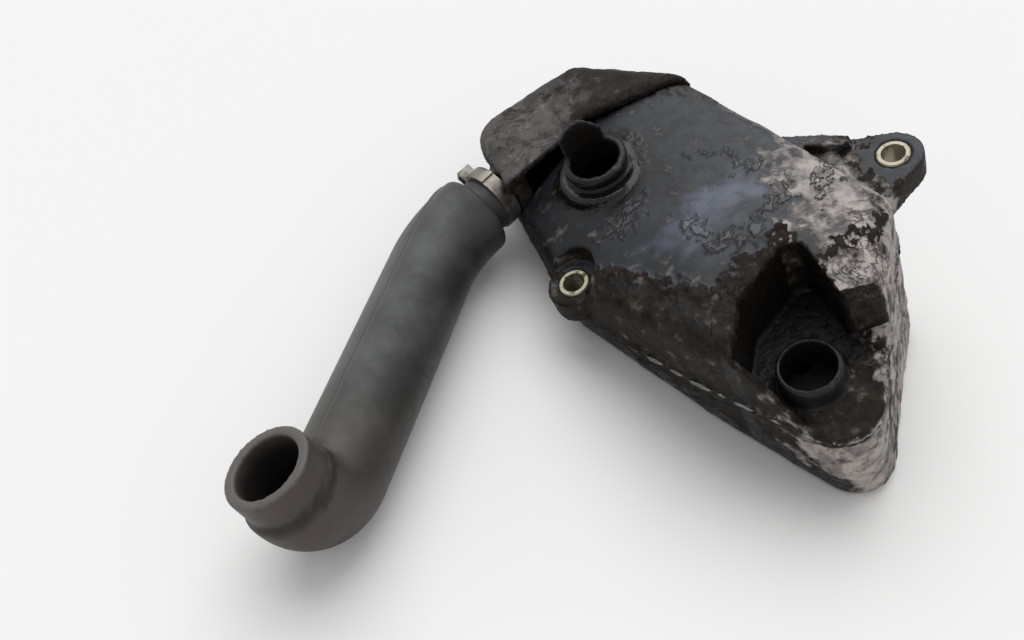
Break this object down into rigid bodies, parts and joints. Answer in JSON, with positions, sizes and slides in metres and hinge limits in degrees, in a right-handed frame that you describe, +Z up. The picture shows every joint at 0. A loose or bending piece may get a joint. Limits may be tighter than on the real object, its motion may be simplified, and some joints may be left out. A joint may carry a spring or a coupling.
{
  "type": "oil separator",
  "caption": "Crankcase oil separator: welded plastic housing with fixing bosses, pipe nipples and a short moulded rubber breather hose held by a steel ear clamp.",
  "frame": {"origin": "middle of the resting part's box, on the surface it lies on", "axes": "+X from the hose to the fixing lug, along the length; +Y towards the outlet end; +Z up from the flat front face that it lies on"},
  "size_m": [0.2594, 0.191, 0.0769],
  "materials": {
    "housing": "black moulded plastic, oily and caked with old grime",
    "baffle": "satin black",
    "bush": "yellow zinc plate",
    "hose": "matt moulded rubber",
    "clamp": "dull stainless"
  },
  "bodies": {
    "root": {"rear_shell": "housing", "front_shell": "housing", "baffle": "baffle", "left_bush": "bush", "right_bush": "bush", "breather_hose": "hose", "ear_clamp": "clamp"}
  },
  "joints": []
}
